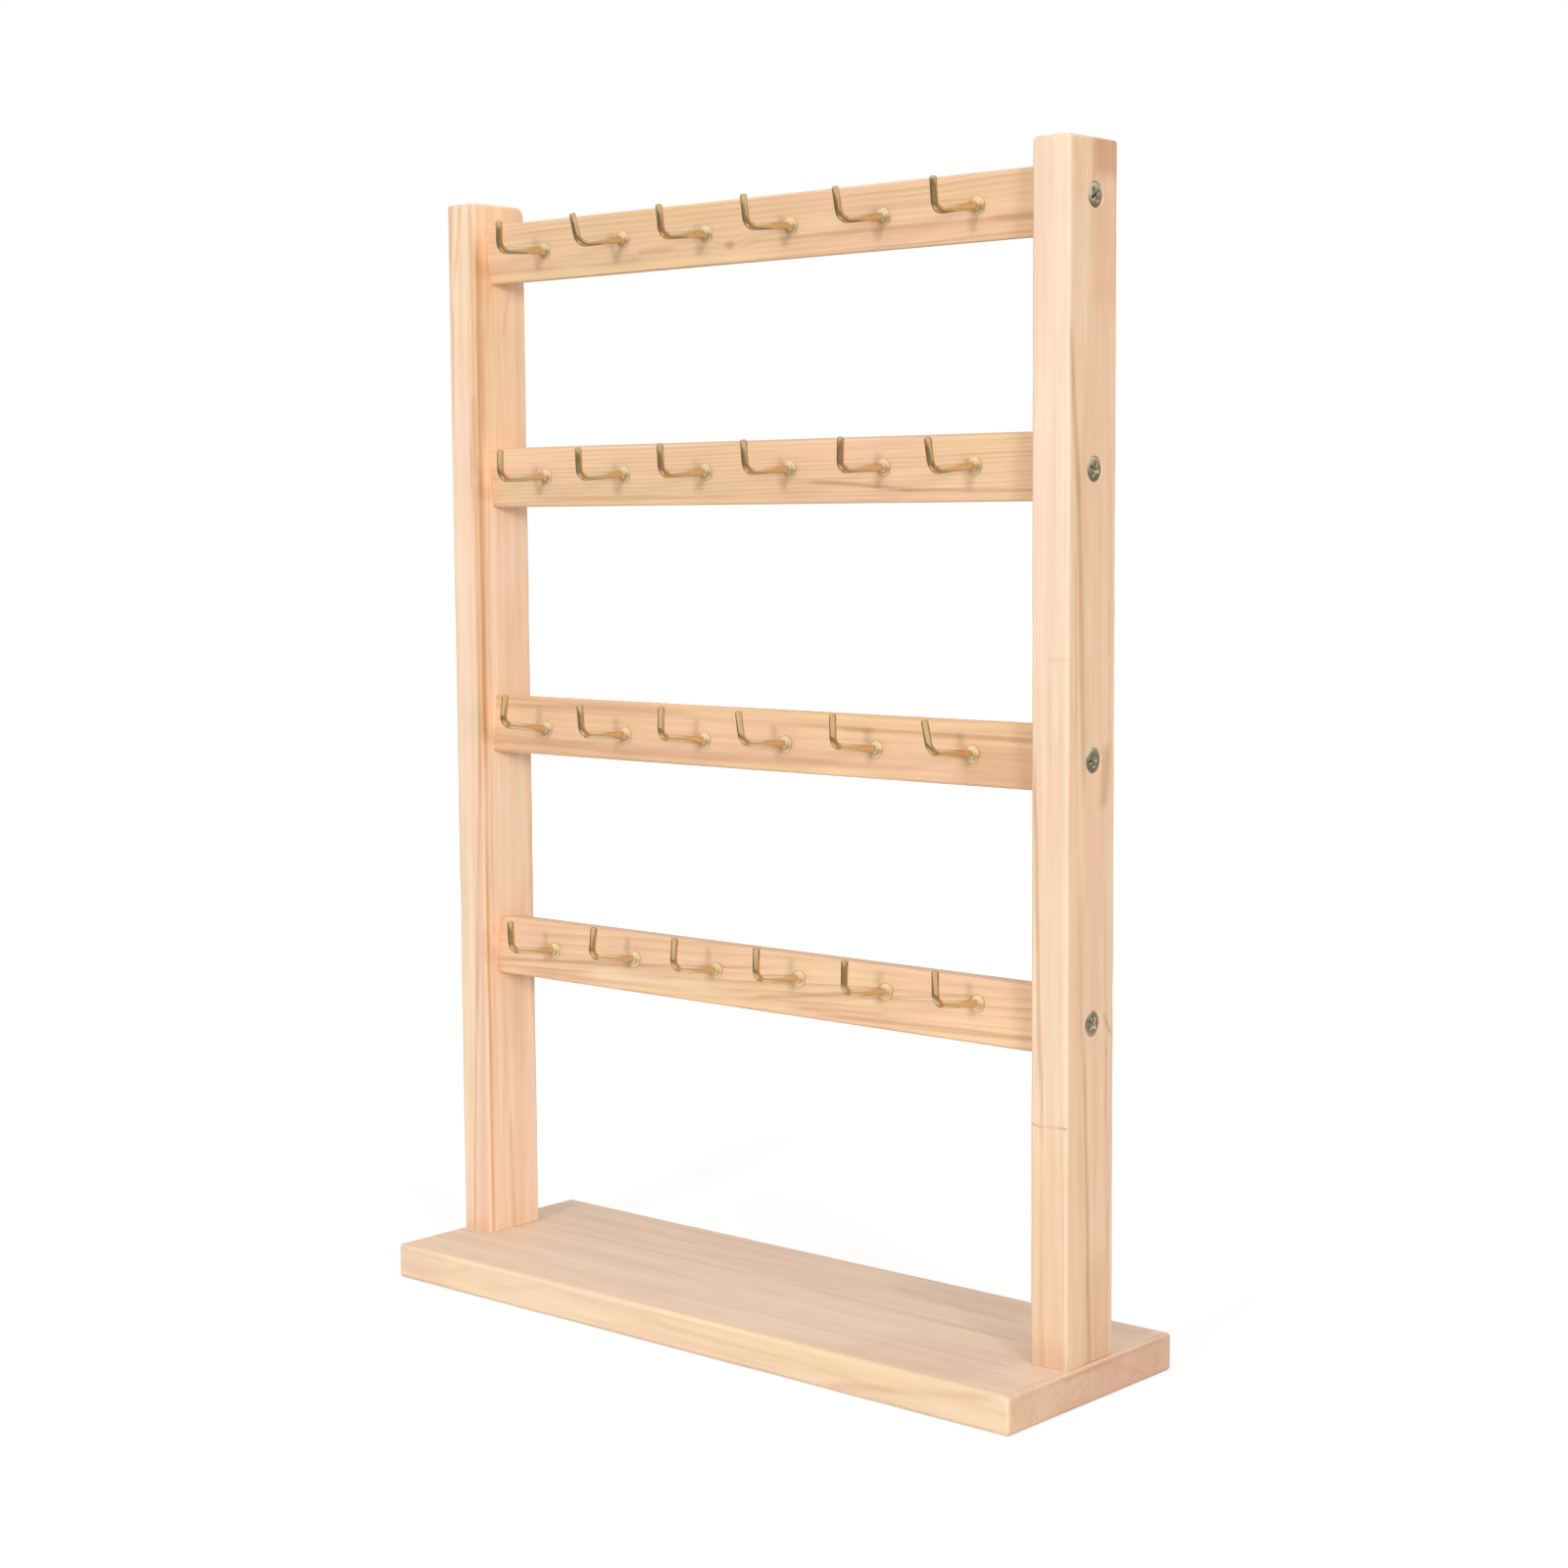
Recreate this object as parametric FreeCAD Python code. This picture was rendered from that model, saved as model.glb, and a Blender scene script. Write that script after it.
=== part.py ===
import FreeCAD, Part
import math
import os

# Jewellery stand: two posts on a base board, four rails between them, and a row of screw hooks
# on each rail.  Lengths are in millimetres and angles in degrees.
#
# Frame: +X runs along the rails to the right, the hooks face -Y, and +Z is up.
# The origin is the middle of the base board's underside.

# ---------------------------------------------------------------- driving dimensions

# Base board, lying flat.
base_length = 300.0
base_depth = 95.0
base_thickness = 13.5
base_edge_radius = 1.5

# Posts, standing on the base board a little way in from its ends.
post_width = 15.0
post_depth = 27.0
post_length = 406.5
post_inset = 1.5
post_edge_radius = 1.0
left_post_back_radius = 3.6

# Rails, from the top down.  Each one butts against the inner faces of the posts.
rail_names = ("top_rail", "upper_rail", "lower_rail", "bottom_rail")
rail_height = 22.5
rail_thickness = 15.0
rail_setback = 7.0
rail_edge_radius = 0.8
top_rail_drop = 19.0
rail_spacings = (86.5, 97.0, 88.5)

# Each rail is held by only one screw at each end, and sits turned about its centre line by a few
# degrees.  A positive turn tips the rail's face down.
rail_turns = (6.0, 4.0, -5.0, -7.0)

# Screw hooks: a pointed shank, a round collar, an arm that stands out from the rail, and an upright tip.
wire_diameter = 2.5
hook_bite = 9.5
hook_point = 2.5
hook_point_diameter = 0.6
hook_reach = 23.4
hook_tip_height = 11.3
hook_bend_radius = 3.5
hook_tip_radius = 0.8
collar_diameter = 6.3
collar_thickness = 1.2
collar_edge_radius = 0.4

# The hooks of a rail are marked out evenly between two end margins, and a row may lie a little to
# one side of the rail's middle.
hook_end_margin = 29.8
hook_row_shifts = (3.0, 2.0, 0.0, 3.5)

# The hooks were set by hand, one row of values for each rail.  A hook lies off its even place by its
# offset, and above the rail's centre line by its rise.  Seen from the front, its tip leans to +X by
# its lean, and its arm droops below square by its droop.
hook_offsets = (
    (-0.5, 0.1, 0.7, -0.1, 0.6, -0.4),
    (-0.6, 0.1, 0.5, -0.2, 1.3, -0.7),
    (-0.1, 1.3, 0.7, -1.1, -0.5, 0.3),
    (-1.2, 0.9, 1.7, 0.6, -0.2, -1.3),
)
hook_rises = (
    (-0.2, 1.1, 0.1, 0.0, 0.0, 0.7),
    (0.4, 0.7, 0.8, 1.2, 1.1, 1.0),
    (-1.3, -1.6, -1.6, -1.1, -0.8, -0.4),
    (0.4, 1.3, 1.3, 2.5, 2.1, 2.4),
)
hook_leans = (
    (3, -7, -1, -3, -5, 3),
    (-3, 1, -1, -3, 4, -5),
    (0, -4, -4, -13, -6, -16),
    (-4, 0, -4, -4, 0, -7),
)
hook_droops = (
    (-2, 2, 0, -1, 1, 3),
    (-1, 0, -1, -1, -1, 1),
    (-3, 1, -1, 0, -1, 0),
    (0, -2, -2, 0, 0, 0),
)

# Countersunk wood screws with a cross recess.  One goes through each post into each rail's end, at
# its rise above the rail's centre line, and two go up through the base board into each post.
screw_head_diameter = 8.4
screw_rim = 0.3
screw_shank_diameter = 4.2
screw_point = 5.0
screw_point_diameter = 1.0
screw_head_sink = 0.3
recess_span = 4.6
recess_width = 1.1
recess_depth = 2.0
rail_screw_bite = 18.0
rail_screw_rises = (0.6, -1.4, -0.1, 0.2)
base_screw_bite = 22.0
base_screw_spacing = 14.0
screw_turn_step = 34.0

# Clearances, on the radius or at the end of a hole.
screw_clearance = 0.05
hook_clearance = 0.05
hole_end_clearance = 0.3

# How far a hole's cutter stands out of the face that it opens in, and how close two points are
# when they count as one.
cutter_overrun = 1.0
same_place = 1e-3

# ---------------------------------------------------------------- places worked out from them

Vector = FreeCAD.Vector
ORIGIN = Vector(0, 0, 0)
X_AXIS = Vector(1, 0, 0)
Y_AXIS = Vector(0, 1, 0)
Z_AXIS = Vector(0, 0, 1)

wire_radius = wire_diameter / 2
screw_shank_radius = screw_shank_diameter / 2
screw_head_radius = screw_head_diameter / 2
screw_cone_height = screw_head_radius - screw_shank_radius

post_outer_x = base_length / 2 - post_inset
post_inner_x = post_outer_x - post_width
post_middle_x = post_outer_x - post_width / 2
post_top_z = base_thickness + post_length
rail_length = 2 * post_inner_x
rail_axis_y = -post_depth / 2 + rail_setback + rail_thickness / 2
rail_screw_length = post_width - screw_head_sink + rail_screw_bite
base_screw_length = base_thickness - screw_head_sink + base_screw_bite


def rail_axis_heights():
    """The height of each rail's centre line above the base board's underside."""
    heights = [post_top_z - top_rail_drop]
    for spacing in rail_spacings:
        heights.append(heights[-1] - spacing)
    return heights


def rail_screw_heights():
    """The height of each rail's screws above the base board's underside."""
    return [height + rise for height, rise in zip(rail_axis_heights(), rail_screw_rises)]


def hook_places(row):
    """How far along its rail, and how far above the rail's centre line, each hook of a row lies."""
    first = -rail_length / 2 + hook_end_margin + hook_row_shifts[row]
    pitch = (rail_length - 2 * hook_end_margin) / (len(hook_offsets[row]) - 1)
    return [(first + number * pitch + offset, rise)
            for number, (offset, rise) in enumerate(zip(hook_offsets[row], hook_rises[row]))]


# ---------------------------------------------------------------- boards


def runs_along(edge, axis):
    """Whether a straight edge is parallel to an axis."""
    start, end = edge.Vertexes[0].Point, edge.Vertexes[-1].Point
    return (end - start).cross(axis).Length < same_place


def block(length, depth, height):
    """A plain block, centred in X and Y and standing on Z = 0."""
    return Part.makeBox(length, depth, height, Vector(-length / 2, -depth / 2, 0))


def base_board():
    """The base board, with every edge rounded and two countersunk holes under each post."""
    board = block(base_length, base_depth, base_thickness)
    board = board.makeFillet(base_edge_radius, board.Edges)
    return board.cut(base_screw_holes())


def post(side):
    """A post.  Its long edges and the edges of its top are eased, and its foot is square.

    The left post's top is also worn round at the back.
    """
    body = block(post_width, post_depth, post_length)
    if side < 0:
        worn = [edge for edge in body.Edges if edge.BoundBox.ZMin > post_length - same_place
                and edge.BoundBox.YMin > post_depth / 2 - same_place]
        body = body.makeFillet(left_post_back_radius, worn)
    foot = [edge for edge in body.Edges if edge.BoundBox.ZMax < same_place]
    eased = [edge for edge in body.Edges if not any(edge.isSame(other) for other in foot)]
    body = body.makeFillet(post_edge_radius, eased)
    body.translate(Vector(side * post_middle_x, 0, base_thickness))
    return body.cut(base_screw_holes() + rail_screw_holes(side))


def rail(row):
    """A rail, with its long edges eased, holes for its hooks and a hole in each end for its screw."""
    body = Part.makeBox(rail_length, rail_thickness, rail_height,
                        Vector(-rail_length / 2, -rail_thickness / 2, -rail_height / 2))
    body = body.makeFillet(rail_edge_radius, [edge for edge in body.Edges if runs_along(edge, X_AXIS)])
    holes = [hook_hole(place, rise) for place, rise in hook_places(row)]
    body = turned_with_rail(body.cut(holes), row)
    return body.cut(rail_screw_holes(-1) + rail_screw_holes(1))


def turned_with_rail(shape, row):
    """A shape modelled about a rail's centre line, turned with that rail and put in its place."""
    shape.rotate(ORIGIN, X_AXIS, rail_turns[row])
    shape.translate(Vector(0, rail_axis_y, rail_axis_heights()[row]))
    return shape


# ---------------------------------------------------------------- screws


def screw_profile(length, clearance, mouth):
    """The solid that a screw fills, point down, its head's face at Z = 0.

    With a clearance it is the screw's hole, and a mouth carries the hole out to the wood's face.
    """
    head = screw_head_radius + clearance
    shank = screw_shank_radius + clearance
    tip = screw_point_diameter / 2 + clearance
    end = length + (hole_end_clearance if clearance else 0)
    outline = [Vector(0, 0, mouth), Vector(head, 0, mouth), Vector(head, 0, -screw_rim),
               Vector(shank, 0, -screw_rim - screw_cone_height), Vector(shank, 0, screw_point - end),
               Vector(tip, 0, -end), Vector(0, 0, -end), Vector(0, 0, mouth)]
    return Part.Face(Part.makePolygon(outline)).revolve(ORIGIN, Z_AXIS, 360)


def cross_recess():
    """The cross in a screw's head: two crossed slots that narrow to a point."""
    span = Part.makeCone(recess_width / 2, recess_span / 2, recess_depth, Vector(0, 0, -recess_depth))
    slot = Part.makeBox(recess_span, recess_width, recess_depth,
                        Vector(-recess_span / 2, -recess_width / 2, -recess_depth))
    other = slot.copy()
    other.rotate(ORIGIN, Z_AXIS, 90)
    return slot.fuse(other).common(span)


def wood_screw(length, turn):
    """A countersunk wood screw, point down, with its cross turned by an angle."""
    screw = screw_profile(length, 0, 0).cut(cross_recess())
    screw.rotate(ORIGIN, Z_AXIS, turn)
    return screw


def screw_hole(length):
    """The hole that a wood screw leaves, open to the face that it was driven from."""
    return screw_profile(length, screw_clearance, screw_head_sink + cutter_overrun)


def driven_into_post(shape, side, height):
    """A shape modelled point down, laid so that it is driven through a post into a rail's end."""
    shape.rotate(ORIGIN, Y_AXIS, 90 * side)
    shape.translate(Vector(side * (post_outer_x - screw_head_sink), rail_axis_y, height))
    return shape


def driven_into_base(shape, side, end):
    """A shape modelled point down, turned over so that it is driven up through the base board."""
    shape.rotate(ORIGIN, X_AXIS, 180)
    shape.translate(Vector(side * post_middle_x, end * base_screw_spacing / 2, screw_head_sink))
    return shape


def rail_screw_holes(side):
    """The holes of one post's rail screws."""
    return [driven_into_post(screw_hole(rail_screw_length), side, height)
            for height in rail_screw_heights()]


def base_screw_holes():
    """The holes of all the screws that hold the posts to the base board."""
    return [driven_into_base(screw_hole(base_screw_length), side, end)
            for side in (-1, 1) for end in (-1, 1)]


# ---------------------------------------------------------------- screw hooks


def hook_shank(clearance):
    """The pointed end of a hook that the rail hides, along +Y from the rail's face."""
    radius = wire_radius + clearance
    end = hook_bite + (hole_end_clearance if clearance else 0)
    straight = end - hook_point
    shank = Part.makeCylinder(radius, straight, ORIGIN, Y_AXIS)
    tip = hook_point_diameter / 2 + clearance
    point = Part.makeCone(radius, tip, hook_point, Vector(0, straight, 0), Y_AXIS)
    return shank.fuse(point)


def hook_hole(place, rise):
    """The hole that a hook's shank fills, in the rail's own frame."""
    hole = hook_shank(hook_clearance)
    hole.translate(Vector(place, -rail_thickness / 2, rise))
    return hole


def hook_collar():
    """The round collar that stops a hook at the rail's face, with its outer edge rounded."""
    collar = Part.makeCylinder(collar_diameter / 2, collar_thickness, ORIGIN, -Y_AXIS)
    rim = [edge for edge in collar.Edges if edge.BoundBox.YMax < -collar_thickness / 2]
    return collar.makeFillet(collar_edge_radius, rim)


def hook_arm():
    """The bent wire outside the rail: out along -Y, round the bend, and up to the rounded tip."""
    start_of_bend = Vector(0, hook_bend_radius - hook_reach, 0)
    end_of_bend = Vector(0, -hook_reach, hook_bend_radius)
    centre = Vector(0, hook_bend_radius - hook_reach, hook_bend_radius)
    slant = hook_bend_radius / math.sqrt(2)
    middle_of_bend = centre + Vector(0, -slant, -slant)
    tip = Vector(0, -hook_reach, hook_tip_height)
    path = Part.Wire([Part.makeLine(ORIGIN, start_of_bend),
                      Part.Arc(start_of_bend, middle_of_bend, end_of_bend).toShape(),
                      Part.makeLine(end_of_bend, tip)])
    section = Part.Wire([Part.Circle(ORIGIN, Y_AXIS, wire_radius).toShape()])
    arm = path.makePipeShell([section], True, False)
    ends = [edge for edge in arm.Edges if edge.BoundBox.ZMin > hook_tip_height - same_place]
    return arm.makeFillet(hook_tip_radius, ends)


def screw_hook(row, number):
    """One screw hook in its place, leaning and drooping as it was screwed in."""
    arm = hook_arm()
    arm.rotate(ORIGIN, Y_AXIS, hook_leans[row][number])
    arm.rotate(ORIGIN, X_AXIS, hook_droops[row][number])
    hook = hook_shank(0).fuse([hook_collar(), arm]).removeSplitter()
    place, rise = hook_places(row)[number]
    hook.translate(Vector(place, -rail_thickness / 2, rise))
    return turned_with_rail(hook, row)


# ---------------------------------------------------------------- the whole stand


def stand():
    """Every piece of the stand by its name."""
    pieces = {"base_board": base_board(), "left_post": post(-1), "right_post": post(1)}
    sides = (("left", -1), ("right", 1))
    for row, name in enumerate(rail_names):
        pieces[name] = rail(row)
        for number in range(len(hook_places(row))):
            pieces[f"{name}_hook_{number + 1}"] = screw_hook(row, number)
        for side_name, side in sides:
            turn = screw_turn_step * (row + 1) * side
            screw = wood_screw(rail_screw_length, turn)
            pieces[f"{name}_{side_name}_screw"] = driven_into_post(screw, side, rail_screw_heights()[row])
    for side_name, side in sides:
        for end_name, end in (("front", -1), ("back", 1)):
            screw = wood_screw(base_screw_length, screw_turn_step * end)
            pieces[f"{side_name}_post_{end_name}_screw"] = driven_into_base(screw, side, end)
    return pieces


os.makedirs("parts", exist_ok=True)
for piece_name, piece in stand().items():
    solid = piece.Solids[0]
    if len(piece.Solids) != 1 or not solid.isValid():
        raise ValueError(f"{piece_name} is not one sound solid")
    solid.exportStep(f"parts/{piece_name}.step")
    box = solid.BoundBox
    print(f"{piece_name}: {solid.Volume / 1000:.2f} cm3, X {box.XMin:.1f} to {box.XMax:.1f}, "
          f"Y {box.YMin:.1f} to {box.YMax:.1f}, Z {box.ZMin:.1f} to {box.ZMax:.1f}")
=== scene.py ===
# %% [markdown]
# # A jewellery hook stand in bare pine
#
# The stand is a base board, two posts, four rails and four rows of brass-plated screw hooks. The measured
# model comes first and stays where it is. Every finish and every finer piece is then made around it.

# %% Load the measured model
import math

import bmesh
import bpy
from mathutils import Matrix, Vector, noise


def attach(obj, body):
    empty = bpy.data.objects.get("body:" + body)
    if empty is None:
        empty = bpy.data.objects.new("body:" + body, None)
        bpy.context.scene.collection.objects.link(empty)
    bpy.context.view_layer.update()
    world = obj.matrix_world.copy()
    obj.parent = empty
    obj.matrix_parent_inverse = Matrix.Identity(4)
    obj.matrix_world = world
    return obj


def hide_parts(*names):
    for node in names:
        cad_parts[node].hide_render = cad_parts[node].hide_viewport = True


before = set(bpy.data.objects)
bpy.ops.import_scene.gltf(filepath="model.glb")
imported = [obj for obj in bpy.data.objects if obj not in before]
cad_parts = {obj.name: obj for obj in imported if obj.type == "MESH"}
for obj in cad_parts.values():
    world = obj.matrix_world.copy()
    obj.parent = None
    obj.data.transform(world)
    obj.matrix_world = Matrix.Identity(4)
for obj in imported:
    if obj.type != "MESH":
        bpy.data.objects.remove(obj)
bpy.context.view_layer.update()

# %% [markdown]
# ## The camera
#
# A long lens a metre away keeps the posts nearly upright in the view. The camera turns about Z by its
# azimuth, tips up by a right angle less its elevation, and rolls a little about its own axis. Building
# the matrix from those three turns says exactly how it stands, which a tracking constraint would hide.

# %% Place the camera
CAMERA_PLACE = Vector((0.67496, -0.75121, 0.29767))
CAMERA_AZIMUTH = math.radians(41.39)
CAMERA_ELEVATION = math.radians(5.47)
CAMERA_ROLL = math.radians(-0.39)
LENS, SENSOR_WIDTH = 63.63, 36.0

camera = bpy.data.objects.new("camera", bpy.data.cameras.new("camera"))
bpy.context.scene.collection.objects.link(camera)
camera.data.sensor_width = SENSOR_WIDTH
camera.data.lens = LENS
camera.matrix_world = (Matrix.Translation(CAMERA_PLACE)
                       @ Matrix.Rotation(CAMERA_AZIMUTH, 4, "Z")
                       @ Matrix.Rotation(math.pi / 2 - CAMERA_ELEVATION, 4, "X")
                       @ Matrix.Rotation(CAMERA_ROLL, 4, "Z"))
bpy.context.scene.camera = camera
bpy.context.scene.view_settings.view_transform = "Standard"
print("the camera looks along", -camera.matrix_world.to_3x3().col[2])

# %% [markdown]
# ## Shader sums in Python
#
# A finish is a network of small nodes. Wiring each sum by hand hides what it works out, so `Wire` wraps
# a socket and lets Python's own operators add the Math nodes. `Paint` holds one node tree, and its one
# method `node` makes any other node from its type, its settings and what goes into its sockets.


# %% Helpers for node trees
class Wire:
    """A number or colour on its way through a node tree."""

    def __init__(self, paint, socket):
        self.paint = paint
        self.socket = socket

    def sum(self, operation, *values):
        return self.paint.node("Math", {"operation": operation}, dict(enumerate(values)))

    def __add__(self, other):
        return self.sum("ADD", self, other)

    def __sub__(self, other):
        return self.sum("SUBTRACT", self, other)

    def __rsub__(self, other):
        return self.sum("SUBTRACT", other, self)

    def __mul__(self, other):
        return self.sum("MULTIPLY", self, other)

    def __truediv__(self, other):
        return self.sum("DIVIDE", self, other)

    def __pow__(self, power):
        return self.sum("POWER", self, power)

    def __abs__(self):
        return self.sum("ABSOLUTE", self)

    __radd__ = __add__
    __rmul__ = __mul__


class Paint:
    """One node tree, and short names for the nodes that the finishes share."""

    def __init__(self, tree):
        self.tree = tree

    def node(self, kind, settings=None, inputs=None, output=0):
        made = self.tree.nodes.new("ShaderNode" + kind)
        for name, value in (settings or {}).items():
            if name == "stops":
                self.set_stops(made.color_ramp, value)
            else:
                setattr(made, name, value)
        for name, value in (inputs or {}).items():
            self.feed(made.inputs[name], value)
        return Wire(self, made.outputs[output])

    def set_stops(self, ramp, stops):
        while len(ramp.elements) < len(stops):
            ramp.elements.new(0.5)
        for element, (place, grey) in zip(ramp.elements, stops):
            element.position = place
            element.color = (grey, grey, grey, 1)

    def feed(self, socket, value):
        if isinstance(value, Wire):
            self.tree.links.new(value.socket, socket)
        elif socket.type == "RGBA" and len(value) == 3:
            socket.default_value = (*value, 1)
        else:
            socket.default_value = value

    def noise(self, vector, scale=1.0, detail=2.0, seed=0.0):
        """Soft random values about 0, mostly from -1 to 1."""
        made = self.node("TexNoise", {"noise_dimensions": "4D"},
                         {"Vector": vector, "W": seed, "Scale": scale, "Detail": detail})
        return (made - 0.5) * 4

    def stretched(self, vector, x, y, z):
        return self.node("VectorMath", {"operation": "MULTIPLY"}, {0: vector, 1: (x, y, z)})

    def ease(self, value, low, high, first=0.0, last=1.0):
        """A smooth step from first to last as the value goes from low to high."""
        return self.node("MapRange", {"interpolation_type": "SMOOTHSTEP"},
                         {0: value, 1: low, 2: high, 3: first, 4: last})

    def mix(self, share, colour, other, blend="MIX"):
        return self.node("Mix", {"data_type": "RGBA", "blend_type": blend},
                         {0: share, 6: colour, 7: other}, output=2)


# %% [markdown]
# ## The studio
#
# A pale floor and an even white surround, with a small lamp almost square on to the stand, a wider one at
# its front right and the widest overhead. The surround is white where it is seen directly, and dimmer
# where it lights the wood, so that the wood keeps the colour it is given. The metal mirrors the whole
# room, and a room is not one even white: it is lit from the front and from above, and it is darker at its
# sides and where the white floor ends. Only reflected rays see that.

# %% Make the surround
SURROUND_LIGHT, DIM_ROOM = 0.57, 0.7
FRONT_X, FRONT_Y = 0.67, 0.75
BEHIND, IN_FRONT = -0.25, 0.1
HORIZON, ABOVE_HORIZON = 0.0, 0.06
HIGH_WALL, CEILING = 0.12, 0.3
BACKDROP, BACKDROP_EDGE = -0.98, -0.94
RAY_KINDS = ("Is Camera Ray", "Is Glossy Ray", "Is Transmission Ray")
GLOSSY = 1


def ray_kinds(paint):
    """1 or 0 for each of three kinds of ray: from the camera, by way of gloss, and through glass."""
    sockets = paint.node("LightPath").socket.node.outputs
    return [Wire(paint, sockets[name]) for name in RAY_KINDS]


def seen_directly(paint):
    """1 for rays from the camera, or by way of metal or glass, and 0 for light on its way to wood."""
    camera_ray, glossy_ray, glass_ray = ray_kinds(paint)
    return camera_ray.sum("MINIMUM", camera_ray + glossy_ray + glass_ray, 1)


world = bpy.data.worlds.new("surround")
bpy.context.scene.world = world
world.use_nodes = True
surround = Paint(world.node_tree)
towards = surround.node("SeparateXYZ", inputs={0: surround.node("TexCoord")}).socket.node.outputs
forwards = Wire(surround, towards["X"]) * FRONT_X - Wire(surround, towards["Y"]) * FRONT_Y
upwards = Wire(surround, towards["Z"])
front = surround.ease(forwards, BEHIND, IN_FRONT) * surround.ease(upwards, HORIZON, ABOVE_HORIZON)
backdrop = surround.ease(forwards, BACKDROP, BACKDROP_EDGE, 1, 0)
lit = front.sum("MAXIMUM", front, backdrop + surround.ease(upwards, HIGH_WALL, CEILING))
dim = (1 - lit.sum("MINIMUM", lit, 1)) * DIM_ROOM * ray_kinds(surround)[GLOSSY]
strength = SURROUND_LIGHT + (1 - SURROUND_LIGHT) * seen_directly(surround) - dim
background = world.node_tree.nodes["Background"]
surround.feed(background.inputs["Color"], (1, 1, 1))
surround.feed(background.inputs["Strength"], strength)
print("the surround has", len(surround.tree.nodes), "nodes")

# %% [markdown]
# The floor glows by itself, a little less near the stand, and the lamps' light on it makes up the rest of
# its white. Where the stand keeps that light off, a soft shadow is left. A plain white floor would be
# lit unevenly, and one that only glows would show no shadow at all. The wood is lit by a plain grey floor
# instead, and the metal mirrors one that darkens further off.

# %% Lay the floor
OBJECT = 3
FLOOR_SIZE = 6
FLOOR_COLOUR, SHADOW_COLOUR = (0.7, 0.7, 0.7), (0.3, 0.3, 0.3)
DARK_FROM, DARK_BY = 0.05, 0.6
WHITE_FROM, WHITE_BY = 0.3, 1.2
GLOW_NEAR, GLOW_FAR = 0.75, 0.97

floor_mesh = bpy.data.meshes.new("floor")
shape = bmesh.new()
bmesh.ops.create_grid(shape, x_segments=1, y_segments=1, size=FLOOR_SIZE)
shape.to_mesh(floor_mesh)
shape.free()
floor = bpy.data.objects.new("floor", floor_mesh)
bpy.context.scene.collection.objects.link(floor)

floor_material = bpy.data.materials.new("floor")
floor_material.use_nodes = True
floor_paint = Paint(floor_material.node_tree)
plain = floor_paint.node("BsdfDiffuse", inputs={"Color": FLOOR_COLOUR})
faint = floor_paint.node("BsdfDiffuse", inputs={"Color": SHADOW_COLOUR})
floor_place = floor_paint.node("TexCoord", output=OBJECT)
from_middle = floor_paint.node("VectorMath", {"operation": "LENGTH"}, {0: floor_place}, output=1)
far_off = floor_paint.ease(from_middle, DARK_FROM, DARK_BY) * ray_kinds(floor_paint)[GLOSSY]
whitening = floor_paint.ease(from_middle, WHITE_FROM, WHITE_BY, GLOW_NEAR, GLOW_FAR)
glow = floor_paint.node("Emission", inputs={"Color": (1, 1, 1), "Strength": whitening * (1 - far_off)})
shown = floor_paint.node("AddShader", inputs={0: faint, 1: glow})
both = floor_paint.node("MixShader", inputs={0: seen_directly(floor_paint), 1: plain, 2: shown})
floor_paint.feed(floor_material.node_tree.nodes["Material Output"].inputs["Surface"], both)
floor_mesh.materials.append(floor_material)
print("the floor lies at", floor.location.z)

# %% [markdown]
# Three square lamps light the stand: a small one that draws its shadows, a wider one for the faces which
# the first only grazes, and the widest for the tops. Reflections leave the lamps out, because such small
# bright spots would be hard sparks on the thin wire.

# %% Hang the lamps
LAMP_AIM = Vector((0, 0, 0.2))


def lamp(name, place, size, power):
    """A square lamp that faces the middle of the stand. Its size is in metres and its power in watts."""
    light = bpy.data.lights.new(name, "AREA")
    light.size = size
    light.energy = power
    made = bpy.data.objects.new(name, light)
    made.visible_glossy = False
    bpy.context.scene.collection.objects.link(made)
    facing = (LAMP_AIM - Vector(place)).to_track_quat("-Z", "Y")
    made.matrix_world = Matrix.Translation(place) @ facing.to_matrix().to_4x4()
    print(name, "lamp at", place)


lamp("key", (0.42, -2.40, 0.90), 0.30, 18.6)
lamp("front right", (2.50, -1.30, 0.75), 0.5, 29.5)
lamp("overhead", (0.10, -0.30, 1.90), 1.2, 8.4)

# %% [markdown]
# ## Pine
#
# A board is cut from a trunk, so one solid pattern can serve all its faces. The rings are circles about
# the pith, a line that runs nearly along the board. Where a face cuts them at a shallow angle they draw
# long arches, and where it cuts them squarely they draw close straight lines. Each ring is pale at first
# and then darkens to a thin line, and long fine fibres and slow changes of tint lie over that.


# %% Measure places on a board
MILLIMETRE = 0.001
NORMAL = 1
END_FROM, END_BY = 0.6, 0.95
FRONT_FROM, FRONT_BY = 0.45, 0.85


class Board(Paint):
    """The node tree of a board's finish, and places on the board in millimetres, with X along its grain."""

    def __init__(self, material, centre, rotation, grain_axis, seed):
        super().__init__(material.node_tree)
        self.seed = seed
        self.place = self.node("Mapping", {"vector_type": "TEXTURE"},
                               {"Vector": self.node("TexCoord", output=OBJECT),
                                "Location": [value * MILLIMETRE for value in centre],
                                "Rotation": rotation, "Scale": (MILLIMETRE,) * 3})
        self.x, self.y, self.z = self.parts(self.place)
        facing = self.parts(self.node("TexCoord", output=NORMAL))
        self.on_end = self.ease(abs(facing[grain_axis]), END_FROM, END_BY)
        self.on_front = self.ease(abs(facing[1]), FRONT_FROM, FRONT_BY)
        self.on_side = (1 - self.on_front) * (1 - self.on_end)

    def parts(self, vector):
        split = self.node("SeparateXYZ", inputs={0: vector}).socket.node
        return [Wire(self, socket) for socket in split.outputs]

    def streaks(self, along, across, detail, number):
        """Random values in long soft streaks. Along and across are how many fit in a millimetre."""
        return self.noise(self.stretched(self.place, along, across, across), 1, detail, self.seed + number)


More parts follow.
